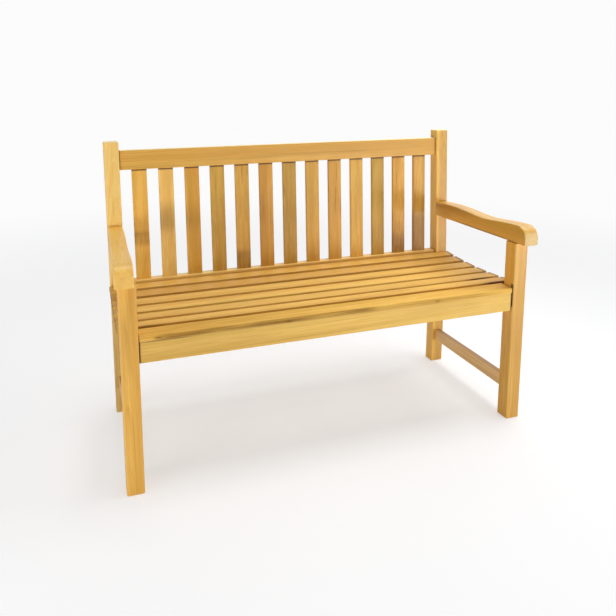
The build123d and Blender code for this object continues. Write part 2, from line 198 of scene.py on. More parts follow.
class Graph:
    """Adds and links the nodes of one shader tree."""

    def __init__(self, tree: bpy.types.NodeTree) -> None:
        """Empty a tree and keep it.

        Args:
            tree: the tree that the nodes go into.
        """
        self.tree = tree
        tree.nodes.clear()

    def add(self, kind: str, **settings: object) -> bpy.types.Node:
        """Add a node.

        Args:
            kind: the node's type after "ShaderNode".
            settings: properties to set on it.

        Returns:
            The node.
        """
        node = self.tree.nodes.new("ShaderNode" + kind)
        for name, value in settings.items():
            setattr(node, name, value)
        return node

    def feed(self, socket: Socket, source: object) -> None:
        """Link a socket to another one, or set it to a plain value.

        Args:
            socket: the socket that is fed.
            source: another socket, or the value.
        """
        if isinstance(source, Socket):
            self.tree.links.new(source, socket)
        else:
            socket.default_value = source

    def math(self, operation: str, first: object, second: object = 0.0, clamp: bool = False) -> Socket:
        """Work out a number from one or two others.

        Args:
            operation: the Math node's operation.
            first: its first number or socket.
            second: its second number or socket.
            clamp: whether the result stays from 0 to 1.

        Returns:
            The result's socket.
        """
        node = self.add("Math", operation=operation, use_clamp=clamp)
        self.feed(node.inputs[0], first)
        self.feed(node.inputs[1], second)
        return node.outputs[0]

    def vector(self, operation: str, first: object, second: object = (0.0, 0.0, 0.0)) -> Socket:
        """Work out a vector or a number from one or two vectors.

        Args:
            operation: the Vector Math node's operation.
            first: its first vector or socket.
            second: its second vector or socket.

        Returns:
            The result's socket.
        """
        node = self.add("VectorMath", operation=operation)
        self.feed(node.inputs[0], first)
        self.feed(node.inputs[1], second)
        return node.outputs["Value" if operation in NUMBER_RESULTS else "Vector"]

    def part(self, point: object, axis: str) -> Socket:
        """Give one coordinate of a point.

        Args:
            point: the point's socket.
            axis: the coordinate: X, Y or Z.

        Returns:
            The coordinate's socket.
        """
        node = self.add("SeparateXYZ")
        self.feed(node.inputs[0], point)
        return node.outputs[axis]

    def ramp(self, source: object, low: float, high: float, start: float = 0.0, end: float = 1.0) -> Socket:
        """Ease a number from one range into another.

        Args:
            source: the number's socket.
            low: where the change starts.
            high: where the change ends.
            start: the result below low.
            end: the result above high.

        Returns:
            The eased number's socket.
        """
        node = self.add("MapRange", interpolation_type="SMOOTHSTEP")
        self.feed(node.inputs["Value"], source)
        self.feed(node.inputs["From Min"], low)
        self.feed(node.inputs["From Max"], high)
        self.feed(node.inputs["To Min"], start)
        self.feed(node.inputs["To Max"], end)
        return node.outputs["Result"]

    def noise(self, point: object, pattern: Pattern, seed: float = 0.0) -> bpy.types.Node:
        """Add a noise stretched along the axes of a point.

        Args:
            point: the socket of the point that it reads.
            pattern: the noise's pattern.
            seed: the surface's own seed.

        Returns:
            The noise node.
        """
        scaled = self.vector("MULTIPLY", point, pattern.waves)
        node = self.add("TexNoise", noise_dimensions="4D")
        self.feed(node.inputs["Vector"], scaled)
        self.feed(node.inputs["W"], seed + pattern.pick)
        self.feed(node.inputs["Scale"], 1.0)
        self.feed(node.inputs["Detail"], pattern.detail)
        return node

    def blend(self, share: object, first: object, second: object, kind: str = "MIX") -> Socket:
        """Blend two colours.

        Args:
            share: how much of the second colour shows, from 0 to 1.
            first: the first colour or its socket.
            second: the second colour or its socket.
            kind: the blend type.

        Returns:
            The blended colour's socket.
        """
        node = self.add("Mix", data_type="RGBA", blend_type=kind)
        self.feed(node.inputs[MIX_SHARE], share)
        self.feed(node.inputs[MIX_FIRST], first)
        self.feed(node.inputs[MIX_SECOND], second)
        return node.outputs[MIX_RESULT]

    def placed(self, point: object, place: Matrix) -> Socket:
        """Read a point in the frame of a place.

        Args:
            point: the socket of a point in the bench's frame.
            place: where the new frame lies in the bench's frame.

        Returns:
            The socket of the same point in the place's own frame.
        """
        node = self.add("Mapping", vector_type="TEXTURE")
        self.feed(node.inputs["Vector"], point)
        node.inputs["Location"].default_value = place.to_translation()
        node.inputs["Rotation"].default_value = place.to_euler()
        return node.outputs["Vector"]


def put_on(nodes: Nodes, node: str, material: Material) -> None:
    """Give a node a material in all its slots and say so.

    Args:
        nodes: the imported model's nodes by name.
        node: the node to dress.
        material: its material.
    """
    slots = nodes[node].material_slots
    for slot in slots:
        slot.material = material
    LOG.info("%s wears %s", node, material.name)


@dataclass(frozen=True)
class Knot:
    """A knot or a dark patch in a board.

    Attributes:
        spot: its middle from the board's middle: along, across and through the board, in metres.
        reach: how far it bends the fibres, in metres.
        dark: how dark its heart is, from 0 to 1.
        stretch: how many times as long as wide it is.
    """

    spot: Triple
    reach: float
    dark: float = 0.6
    stretch: float = 2.5


@dataclass(frozen=True)
class DarkLength:
    """A dark length that runs along a board; most of them paint shade and shadow.

    Attributes:
        line: where it runs from the board's middle: across and through the board, in metres.
        span: where it starts and ends along the board, in metres.
        reach: how far it reaches across and through the board, in metres.
        dark: how dark it is, from 0 to 1.
        taper: over what length its ends fade, in metres.
    """

    line: Pair
    span: Pair
    reach: Pair
    dark: float = 0.6
    taper: float = 0.1


@dataclass(frozen=True)
class Plank:
    """A wooden node and the way it was cut.

    Attributes:
        node: the node's name.
        axis: which way its fibres run.
        tone: its timber's shade.
        sawn: where the log's heart lies.
        straight: whether its long edges run along its box.
        joints: where along it the painted shade at its lower and its upper joint lies, in metres, or 0
            where none shows.
        knots: the knots in it.
        streaks: the dark lengths on it, most of them painted shade and shadow.
    """

    node: str
    axis: GrainAxis
    tone: Tone
    sawn: Sawn = Sawn.QUARTER
    straight: bool = True
    joints: Pair = (0.0, 0.0)
    knots: tuple[Knot, ...] = ()
    streaks: tuple[DarkLength, ...] = ()

    def seed(self) -> float:
        """Give a number of the plank's own, the same in every run."""
        return random.Random(self.node).uniform(*SEED_SPAN)

    def shades(self) -> list[Colour]:
        """Give the plank's own early wood, late wood and dark stain, each a little off its tone's."""
        dice = random.Random(self.node + " shade")
        light = dice.uniform(*LIGHT_SPREAD)
        warm = dice.uniform(*WARM_SPREAD)
        scale = (light * (1.0 + warm / 2), light, light * (1.0 - warm), 1.0)
        shades = []
        for screen in self.tone.value:
            shade = [min(part * by, 1.0) for part, by in zip(from_screen(*screen), scale)]
            shades.append(tuple(shade))
        return shades

    def place(self) -> Matrix:
        """Give the frame in the plank's middle, with X along its fibres."""
        low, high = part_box(self.node)
        return Matrix.Translation((low + high) / 2) @ Euler(self.axis.value).to_matrix().to_4x4()

    def half_size(self) -> Vector:
        """Give half the plank's length, width and thickness, in metres."""
        low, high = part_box(self.node)
        half = Euler(self.axis.value).to_matrix().transposed() @ ((high - low) / 2)
        return Vector([abs(part) for part in half])

    def heart(self) -> Matrix:
        """Give the frame of the log's heart, which leans a little from the plank, with X along it."""
        dice = random.Random(self.node + " heart")
        across = self.sawn.value[0] * dice.choice((-1, 1)) * dice.uniform(*HEART_SPREAD)
        through = self.sawn.value[1] * dice.choice((-1, 1)) * dice.uniform(*HEART_SPREAD)
        lean = Euler((0.0, dice.uniform(*LEAN_SPREAD), dice.uniform(*LEAN_SPREAD)))
        return self.place() @ Matrix.Translation((0.0, across, through)) @ lean.to_matrix().to_4x4()


@dataclass(frozen=True)
class Grain:
    """The sockets of a plank's grain.

    Attributes:
        own: the point in the plank's own frame.
        log: the point in the log, with the wander of its fibres.
        late: the late wood's share.
        fibre: the fibres.
        pore: the open pores.
        end: the faces that cut across the fibres.
        up: the faces that look up, which take the painted top highlight and shade.
    """

    own: Socket
    log: Socket
    late: Socket
    fibre: Socket
    pore: Socket
    end: Socket
    up: Socket


@dataclass(frozen=True)
class OiledTimber:
    """Lightly oiled hardwood with growth rings, fibres, stains, knots and end grain.

    Attributes:
        ring_width: distance between growth rings, in metres.
        ring_depth: how strongly the rings show.
        fibre_depth: how strongly the fibres show.
        band_depth: how strongly long bands of late wood show.
        olive_depth: how strongly greenish bands show.
        streak_depth: how strongly thin dark streaks show.
        stain_depth: how strongly stains show.
        drift: how far the rings wander, in metres.
        gloss: roughness of the oiled face.
        shine: how strongly the oiled face mirrors light.
        painted_top_tint: colour painted on faces that look up, lighter for a painted highlight and darker
            for a painted shade.
        painted_top_depth: how far they turn to this painted colour.
        end_tint: colour that the end grain turns to.
        end_depth: how far the end grain turns to it.
        end_turn: how much a face has to turn across the fibres to show some and to show only end grain.
        edge_highlight_share: how much lighter the long edges are, a painted highlight.
        edge_highlight_reach: width of the painted highlight on the long edges, in metres.
        joint_shade_reach: width of the painted shade at a joint, in metres.
        relief: height of the grain that is felt, in metres.
    """

    ring_width: float = 0.0042
    ring_depth: float = 0.55
    fibre_depth: float = 0.5
    band_depth: float = 0.6
    olive_depth: float = 0.45
    streak_depth: float = 0.35
    stain_depth: float = 0.5
    drift: float = 0.010
    gloss: float = 0.44
    shine: float = 0.5
    painted_top_tint: Colour = from_screen(255, 238, 176)
    painted_top_depth: float = 0.0
    end_tint: Colour = from_screen(160, 106, 50)
    end_depth: float = 0.4
    end_turn: Pair = (0.75, 0.95)
    edge_highlight_share: float = 0.25
    edge_highlight_reach: float = 0.0035
    joint_shade_reach: float = 0.003
    relief: float = 0.0004

    def dress(self, nodes: Nodes, plank: Plank) -> None:
        """Make a plank's material and put it on.

        Args:
            nodes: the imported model's nodes by name.
            plank: the plank to dress.
        """
        material = bpy.data.materials.new("timber_" + plank.node)
        material.use_nodes = True
        graph = Graph(material.node_tree)
        grain = self.grain(graph, plank)
        shader = graph.add("BsdfPrincipled")
        graph.feed(shader.inputs["Base Color"], self.colour(graph, plank, grain))
        rough = graph.math("MULTIPLY", grain.fibre, FIBRE_ROUGHNESS)
        rough = graph.math("ADD", rough, self.gloss - FIBRE_ROUGHNESS / 2)
        rough = graph.math("ADD", rough, graph.math("MULTIPLY", grain.end, END_ROUGHNESS))
        graph.feed(shader.inputs["Roughness"], rough)
        shader.inputs["Specular IOR Level"].default_value = self.shine
        height = graph.math("MULTIPLY", grain.late, RING_HEIGHT)
        height = graph.math("SUBTRACT", height, graph.math("MULTIPLY", grain.pore, PORE_HEIGHT))
        height = graph.math("ADD", height, graph.math("MULTIPLY", grain.fibre, FIBRE_HEIGHT))
        bump = graph.add("Bump")
        bump.inputs["Strength"].default_value = GRAIN_BUMP
        bump.inputs["Distance"].default_value = self.relief
        graph.feed(bump.inputs["Height"], height)
        graph.feed(shader.inputs["Normal"], bump.outputs["Normal"])
        graph.feed(graph.add("OutputMaterial").inputs["Surface"], shader.outputs["BSDF"])
        put_on(nodes, plank.node, material)

    def grain(self, graph: Graph, plank: Plank) -> Grain:
        """Make the grain of a plank.

        Args:
            graph: the material's graph.
            plank: the plank that is dressed.

        Returns:
            The grain's sockets.
        """
        seed = plank.seed()
        point = graph.add("TexCoord").outputs["Object"]
        own = graph.placed(point, plank.place())
        log = self.wander(graph, graph.placed(point, plank.heart()), seed)
        late = self.rings(graph, plank, own, log)
        fibre = graph.noise(log, FIBRES, seed).outputs["Fac"]
        pore = graph.ramp(graph.noise(log, PORES, seed).outputs["Fac"], *PORES.span)
        normal = graph.add("NewGeometry").outputs["Normal"]
        along = graph.vector("DOT_PRODUCT", normal, plank.axis.direction())
        end = graph.ramp(graph.math("ABSOLUTE", along), *self.end_turn)
        up = graph.ramp(graph.vector("DOT_PRODUCT", normal, (0.0, 0.0, 1.0)), *UP_TURN)
        return Grain(own, log, late, fibre, pore, end, up)

    def wander(self, graph: Graph, point: Socket, seed: float) -> Socket:
        """Let the fibres of a log wander.

        Args:
            graph: the material's graph.
            point: the socket of the point in a straight log.
            seed: picks the way they wander.

        Returns:
            The socket of the point in the log.
        """
        shift = graph.noise(point, WANDER, seed).outputs["Color"]
        shift = graph.vector("SUBTRACT", shift, (0.5, 0.5, 0.5))
        shift = graph.vector("MULTIPLY", shift, (0.0, self.drift, self.drift))
        return graph.vector("ADD", point, shift)

    def rings(self, graph: Graph, plank: Plank, own: Socket, log: Socket) -> Socket:
        """Make the growth rings, which bend round the knots.

        Args:
            graph: the material's graph.
            plank: the plank that is dressed.
            own: the socket of the point in the plank's own frame.
            log: the socket of the point in the log.

        Returns:
            The socket of the late wood's share.
        """
        seed = plank.seed()
        radial = graph.vector("MULTIPLY", log, (0.0, 1.0, 1.0))
        radius = graph.vector("LENGTH", radial)
        for knot in plank.knots:
            push = graph.ramp(self.knot_distance(graph, knot, own), 0.0, 1.0, knot.reach * KNOT_PUSH, 0.0)
            radius = graph.math("ADD", radius, push)
        rings = graph.math("DIVIDE", radius, self.ring_width)
        uneven = graph.add("TexNoise", noise_dimensions="1D")
        graph.feed(uneven.inputs["W"], graph.math("ADD", graph.math("MULTIPLY", rings, UNEVEN_WAVES), seed))
        rings = graph.math("ADD", rings, graph.math("MULTIPLY", uneven.outputs["Fac"], UNEVEN_DEPTH))
        phase = graph.math("FRACT", rings)
        ending = graph.ramp(phase, *LATE_FALL, 1.0, 0.0)
        late = graph.math("MULTIPLY", graph.ramp(phase, *LATE_RISE), ending)
        clear = graph.noise(log, CLEAR_RINGS, seed).outputs["Fac"]
        return graph.math("MULTIPLY", late, graph.ramp(clear, *CLEAR_RINGS.span, RING_LEAST, 1.0))

    def knot_distance(self, graph: Graph, knot: Knot, own: Socket) -> Socket:
        """Measure how far a point is from a knot.

        Args:
            graph: the material's graph.
            knot: the knot.
            own: the socket of the point in the plank's own frame.

        Returns:
            The distance's socket, with 1 where the knot no longer bends the fibres.
        """
        away = graph.vector("SUBTRACT", own, knot.spot)
        scale = (1.0 / knot.reach / knot.stretch, 1.0 / knot.reach, 1.0 / knot.reach)
        return graph.vector("LENGTH", graph.vector("MULTIPLY", away, scale))

    def colour(self, graph: Graph, plank: Plank, grain: Grain) -> Socket:
        """Colour a plank.

        Args:
            graph: the material's graph.
            plank: the plank that is dressed.
            grain: its grain's sockets.

        Returns:
            The colour's socket.
        """
        early, late, dark = plank.shades()
        share = graph.math("MULTIPLY", graph.ramp(grain.fibre, *FIBRES.span), self.fibre_depth)
        share = graph.math("ADD", graph.math("MULTIPLY", grain.late, self.ring_depth), share, True)
        colour = graph.blend(share, early, late)
        band = self.cloud(graph, plank, grain, BANDS, self.band_depth)
        colour = graph.blend(band, colour, late)
        olive = self.cloud(graph, plank, grain, OLIVE_BANDS, self.olive_depth)
        colour = graph.blend(olive, colour, OLIVE_FILTER, "MULTIPLY")
        streak = self.cloud(graph, plank, grain, DARK_STREAKS, self.streak_depth)
        colour = graph.blend(streak, colour, dark)
        stain = self.cloud(graph, plank, grain, STAINS, self.stain_depth)
        colour = graph.blend(stain, colour, dark)
        colour = self.marks(graph, plank, grain, colour)
        colour = graph.blend(graph.math("MULTIPLY", grain.pore, PORE_DEPTH), colour, dark)
        colour = graph.blend(graph.math("MULTIPLY", grain.end, self.end_depth), colour, self.end_tint)
        # Faces that look up take the finish's painted top colour: a painted highlight on some planks, a
        # painted shade on others
        colour = graph.blend(graph.math("MULTIPLY", grain.up, self.painted_top_depth), colour, self.painted_top_tint)
        return self.paint_edge_highlight_and_joint_shade(graph, plank, grain, colour)

    def cloud(self, graph: Graph, plank: Plank, grain: Grain, pattern: Pattern, depth: float) -> Socket:
        """Make a mask of long clouds along the fibres.

        Args:
            graph: the material's graph.
            plank: the plank that is dressed.
            grain: its grain's sockets.
            pattern: the clouds' pattern.
            depth: how strong a full cloud is.

        Returns:
            The mask's socket.
        """
        noise = graph.noise(grain.log, pattern, plank.seed()).outputs["Fac"]
        return graph.math("MULTIPLY", graph.ramp(noise, *pattern.span), depth)

    def marks(self, graph: Graph, plank: Plank, grain: Grain, colour: Socket) -> Socket:
        """Put the knots and the dark lengths of a plank on its colour; most dark lengths are painted shade
        and shadow.

        Args:
            graph: the material's graph.
            plank: the plank that is dressed.
            grain: its grain's sockets.
            colour: the colour's socket so far.

        Returns:
            The socket of the colour with its marks.
        """
        broken = graph.ramp(grain.fibre, *BROKEN_SPAN, BROKEN_LEAST, 1.0)
        for knot in plank.knots:
            dark = graph.ramp(self.knot_distance(graph, knot, grain.own), KNOT_HEART, 1.0, knot.dark, 0.0)
            colour = graph.blend(graph.math("MULTIPLY", dark, broken), colour, MARK_AND_SHADE_BROWN)
        along = graph.part(grain.own, "X")
        for streak in plank.streaks:
            away = graph.vector("SUBTRACT", grain.own, (0.0, *streak.line))
            scale = (0.0, 1.0 / streak.reach[0], 1.0 / streak.reach[1])
            away = graph.vector("MULTIPLY", away, scale)
            distance = graph.vector("LENGTH", away)
            dark = graph.ramp(distance, STREAK_CORE, 1.0, streak.dark, 0.0)
            first, last = streak.span
            dark = graph.math("MULTIPLY", dark, graph.ramp(along, first, first + streak.taper))
            dark = graph.math("MULTIPLY", dark, graph.ramp(along, last - streak.taper, last, 1.0, 0.0))
            colour = graph.blend(graph.math("MULTIPLY", dark, broken), colour, MARK_AND_SHADE_BROWN)
        return colour

    def paint_edge_highlight_and_joint_shade(self, graph: Graph, plank: Plank, grain: Grain, colour: Socket) -> Socket:
        """Paint a highlight on the long edges of a straight plank and paint shade in the lines where it
        meets other parts.

        Args:
            graph: the material's graph.
            plank: the plank that is dressed.
            grain: its grain's sockets.
            colour: the colour's socket so far.

        Returns:
            The socket of the colour with its painted highlight and painted shade.
        """
        if plank.straight:
            half = plank.half_size()
            # Painted highlight along the long edges
            away = graph.vector("ABSOLUTE", grain.own)
            across = graph.ramp(graph.part(away, "Y"), half.y - self.edge_highlight_reach, half.y)
            through = graph.ramp(graph.part(away, "Z"), half.z - self.edge_highlight_reach, half.z)
            edge_highlight_mask = graph.math("MULTIPLY", graph.math("MULTIPLY", across, through), self.edge_highlight_share)
            colour = graph.blend(edge_highlight_mask, colour, from_screen(*Tone.STRAW.value[0]))
        # Painted shade in the lines where the plank meets other parts
        along = graph.part(grain.own, "X")
        for joint in plank.joints:
            inside = joint - math.copysign(self.joint_shade_reach, joint)
            if joint:
                line = graph.ramp(along, inside, (inside + joint) / 2, 0.0, JOINT_SHADE_DEPTH)
                colour = graph.blend(line, colour, JOINT_SHADE_BROWN)
        return colour


@dataclass(frozen=True)
class ZincSteel:
    """Bright zinc plate on steel, a little uneven and brushed.

    Attributes:
        bright: the plate's colour where it is clean.
        dull: the plate's colour where it is dull.
        rough: its roughness, from the smoothest to the dullest spots.
        clouds: the pattern of its dull spots.
        brushing: the pattern of its brushed lines.
        cloud_share: how much of its roughness the dull spots make, beside the brushed lines.
        bump: how strongly the brushed lines are felt.
        relief: height of the brushed lines, in metres.
    """

    bright: Colour = from_screen(206, 207, 204)
    dull: Colour = from_screen(158, 157, 148)
    rough: Pair = (0.26, 0.5)
    clouds: Pattern = Pattern(3.0, (190.0, 190.0, 190.0), (0.4, 0.7), 3.0)
    brushing: Pattern = Pattern(7.0, (260.0, 2600.0, 2600.0), (0.3, 0.7), 2.0)
    cloud_share: float = 0.6
    bump: float = 0.2
    relief: float = 0.0001

    def dress(self, nodes: Nodes, node: str) -> None:
        """Make the material of one kind of fastener and put it on.

        Args:
            nodes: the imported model's nodes by name.
            node: the fasteners' node.
        """
        material = bpy.data.materials.new("zinc_" + node)
        material.use_nodes = True
        graph = Graph(material.node_tree)
        point = graph.add("TexCoord").outputs["Object"]
        cloud = graph.noise(point, self.clouds).outputs["Fac"]
        brushed = graph.noise(point, self.brushing).outputs["Fac"]
        shader = graph.add("BsdfPrincipled")
        shader.inputs["Metallic"].default_value = 1.0
        colour = graph.blend(graph.ramp(cloud, *self.clouds.span), self.bright, self.dull)
        graph.feed(shader.inputs["Base Color"], colour)
        worn = graph.math("MULTIPLY", cloud, self.cloud_share)
        worn = graph.math("ADD", worn, graph.math("MULTIPLY", brushed, 1.0 - self.cloud_share))
        graph.feed(shader.inputs["Roughness"], graph.ramp(worn, *self.brushing.span, *self.rough))
        bump = graph.add("Bump")
        bump.inputs["Strength"].default_value = self.bump
        bump.inputs["Distance"].default_value = self.relief
        graph.feed(bump.inputs["Height"], brushed)
        graph.feed(shader.inputs["Normal"], bump.outputs["Normal"])
        graph.feed(graph.add("OutputMaterial").inputs["Surface"], shader.outputs["BSDF"])
        put_on(nodes, node, material)


@dataclass
class SideFrames:
    """The two side frames: legs, arms, side rails and low stretchers.

    Attributes:
        tones: the tones of each side's front leg, rear leg and arm.
        finish: the timber's finish.
        post_finish: the rear legs' finish, with a painted highlight on their tops.
        low_finish: the stretchers' finish, with a painted shade on their tops.
        leg_streaks: painted shade over a length of each side's front leg, and painted shadow in the groove
            beside the front rail.
        post_darkening: darker parts of each side's rear leg: painted shade low on the front of the left
            leg, and a darker right side on the right leg.
        arm_streaks: painted shade along the lower inner edge of each side's arm.
        arm_finishes: the finish of each side's arm, with paler end grain, which on the right arm's nose is
            partly a painted sheen.
    """

    tones: dict[str, tuple[Tone, Tone, Tone]] = field(
        default_factory=lambda: {
            "left": (Tone.TOFFEE, Tone.STRAW, Tone.HONEY),
            "right": (Tone.TOFFEE, Tone.HONEY, Tone.TOFFEE),
        }
    )
    finish: OiledTimber = OiledTimber(stain_depth=0.35, olive_depth=0.2)
    post_finish: OiledTimber = OiledTimber(stain_depth=0.35, olive_depth=0.2, painted_top_depth=0.8)
    low_finish: OiledTimber = OiledTimber(
        stain_depth=0.35, olive_depth=0.2, painted_top_tint=from_screen(142, 95, 45), painted_top_depth=0.8
    )
    leg_streaks: dict[str, tuple[DarkLength, ...]] = field(
        default_factory=lambda: {
            "left": (),
            "right": (
                DarkLength((0.0, 0.0), (-0.60, 0.20), (0.1, 0.1), 0.18, 0.25),
                DarkLength((-0.0165, 0.0235), (0.072, 0.150), (0.0065, 0.0045), 1.0, 0.006),
            ),
        }
    )
    post_darkening: dict[str, tuple[DarkLength, ...]] = field(
        default_factory=lambda: {
            "left": (DarkLength((-0.045, 0.0), (-0.60, 0.0), (0.055, 0.09), 0.45, 0.08),),
            "right": (DarkLength((0.0, -0.023), (-0.60, 0.60), (0.5, 0.042), 0.30, 0.01),),
        }
    )
    arm_streaks: dict[str, tuple[DarkLength, ...]] = field(
        default_factory=lambda: {
            "left": (),
            "right": (DarkLength((0.026, -0.028), (-0.20, 0.12), (0.012, 0.007), 0.55, 0.08),),
        }
    )
    arm_finishes: dict[str, OiledTimber] = field(
        default_factory=lambda: {
            "left": OiledTimber(gloss=0.36, end_tint=from_screen(238, 190, 104), end_depth=0.5),
            "right": OiledTimber(gloss=0.36, end_tint=from_screen(242, 220, 168), end_depth=0.5),
        }
    )

    def dress(self, nodes: Nodes) -> None:
        """Put the timber on every plank of the side frames.

        Args:
            nodes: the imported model's nodes by name.
        """
        for side, (front, rear, top) in self.tones.items():
            # Painted shade and shadow on the front leg
            streaks = self.leg_streaks[side]
            leg = Plank(f"front_leg_{side}", GrainAxis.UPRIGHT, front, streaks=streaks)
            self.finish.dress(nodes, leg)
            rail = Plank(f"side_rail_{side}", GrainAxis.DEEP, Tone.UMBER)
            self.finish.dress(nodes, rail)
            # Painted shade on the left rear leg, and a darker right side on the right rear leg
            streaks = self.post_darkening[side]
            post = Plank(f"rear_leg_{side}", GrainAxis.UPRIGHT, rear, straight=False, streaks=streaks)
            self.post_finish.dress(nodes, post)
            stretcher = Plank(f"stretcher_{side}", GrainAxis.DEEP, Tone.UMBER)
            self.low_finish.dress(nodes, stretcher)
            # Painted shade along the arm's lower inner edge
            streaks = self.arm_streaks[side]
            arm = Plank(f"arm_{side}", GrainAxis.DEEP, top, Sawn.RIFT, straight=False, streaks=streaks)
            self.arm_finishes[side].dress(nodes, arm)


@dataclass
class Back:
    """The back: top rail, lower rail and upright slats.

    Attributes:
        slat_tones: the slats' tones, from left to right.
        slat_shades: painted shade on lengths of some slats, mostly towards the bottom, by the slat's
            number: start, end, fade and depth of each.
        slat_reach: how far the painted shade reaches across and through a slat, in metres.
        slat_joints: where along a slat the painted shadow under the top rail lies, in metres.
        rail_joints: where along a rail the painted shade beside the legs lies, in metres.
        finish: the slats' finish.
        top_finish: the top rail's finish, with a painted highlight on its top.
        low_finish: the lower rail's finish.
    """

    slat_tones: tuple[Tone, ...] = (
        Tone.HONEY,
        Tone.STRAW,
        Tone.TOFFEE,
        Tone.OLIVE,
        Tone.AMBER,
        Tone.RUSSET,
        Tone.OLIVE,
        Tone.AMBER,
        Tone.TOFFEE,
        Tone.HONEY,
        Tone.OLIVE,
        Tone.TOFFEE,
        Tone.TOFFEE,
    )
    slat_shades: dict[int, tuple[Shade, ...]] = field(
        default_factory=lambda: {
            1: ((-0.20, 0.0, 0.10, 0.30), (-0.08, -0.01, 0.025, 0.46)),
            2: ((-0.20, 0.09, 0.06, 0.30),),
            3: ((-0.19, 0.06, 0.10, 0.20),),
            4: ((-0.20, 0.03, 0.08, 0.28),),
            5: ((-0.20, 0.02, 0.14, 0.26), (-0.20, -0.10, 0.03, 0.46)),
            6: ((-0.19, 0.06, 0.10, 0.12),),
            7: ((-0.20, 0.08, 0.12, 0.22), (-0.50, 0.50, 0.05, 0.08)),
            10: ((-0.19, 0.06, 0.10, 0.12),),
            11: ((-0.20, 0.0, 0.10, 0.18),),
            12: ((-0.30, 0.03, 0.16, 0.42), (-0.20, -0.09, 0.04, 0.38)),
            13: ((-0.24, 0.0, 0.06, 0.60),),
        }
    )
    slat_reach: Pair = (0.06, 0.06)
    slat_joints: Pair = (0.0, 0.178)
    rail_joints: Pair = (-LEG_INNER, LEG_INNER)
    finish: OiledTimber = OiledTimber(
        band_depth=0.7, olive_depth=0.6, streak_depth=0.7, stain_depth=0.25, shine=0.35, joint_shade_reach=0.008
    )
    top_finish: OiledTimber = OiledTimber(olive_depth=0.5, painted_top_depth=0.9)
    low_finish: OiledTimber = OiledTimber(olive_depth=0.5)

    def slats(self) -> list[Plank]:
        """List the slats' planks, from left to right."""
        slats = []
        for number, tone in enumerate(self.slat_tones, 1):
            streaks = []
            # Painted shade on lengths of the slat
            for start, end, fade, dark in self.slat_shades.get(number, ()):
                streaks.append(DarkLength((0.0, 0.0), (start, end), self.slat_reach, dark, fade))
            slat = Plank(
                f"back_slat_{number:02d}",
                GrainAxis.UPRIGHT,
                tone,
                Sawn.RIFT,
                joints=self.slat_joints,
                streaks=tuple(streaks),
            )
            slats.append(slat)
        return slats

    def dress(self, nodes: Nodes) -> None:
        """Put the timber on the slats and the rails of the back.

        Args:
            nodes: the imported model's nodes by name.
        """
        for slat in self.slats():
            self.finish.dress(nodes, slat)
        top = Plank("top_rail", GrainAxis.ACROSS, Tone.AMBER, Sawn.RIFT, joints=self.rail_joints)
        self.top_finish.dress(nodes, top)
        low = Plank("lower_back_rail", GrainAxis.ACROSS, Tone.STRAW, Sawn.RIFT, joints=self.rail_joints)
        self.low_finish.dress(nodes, low)


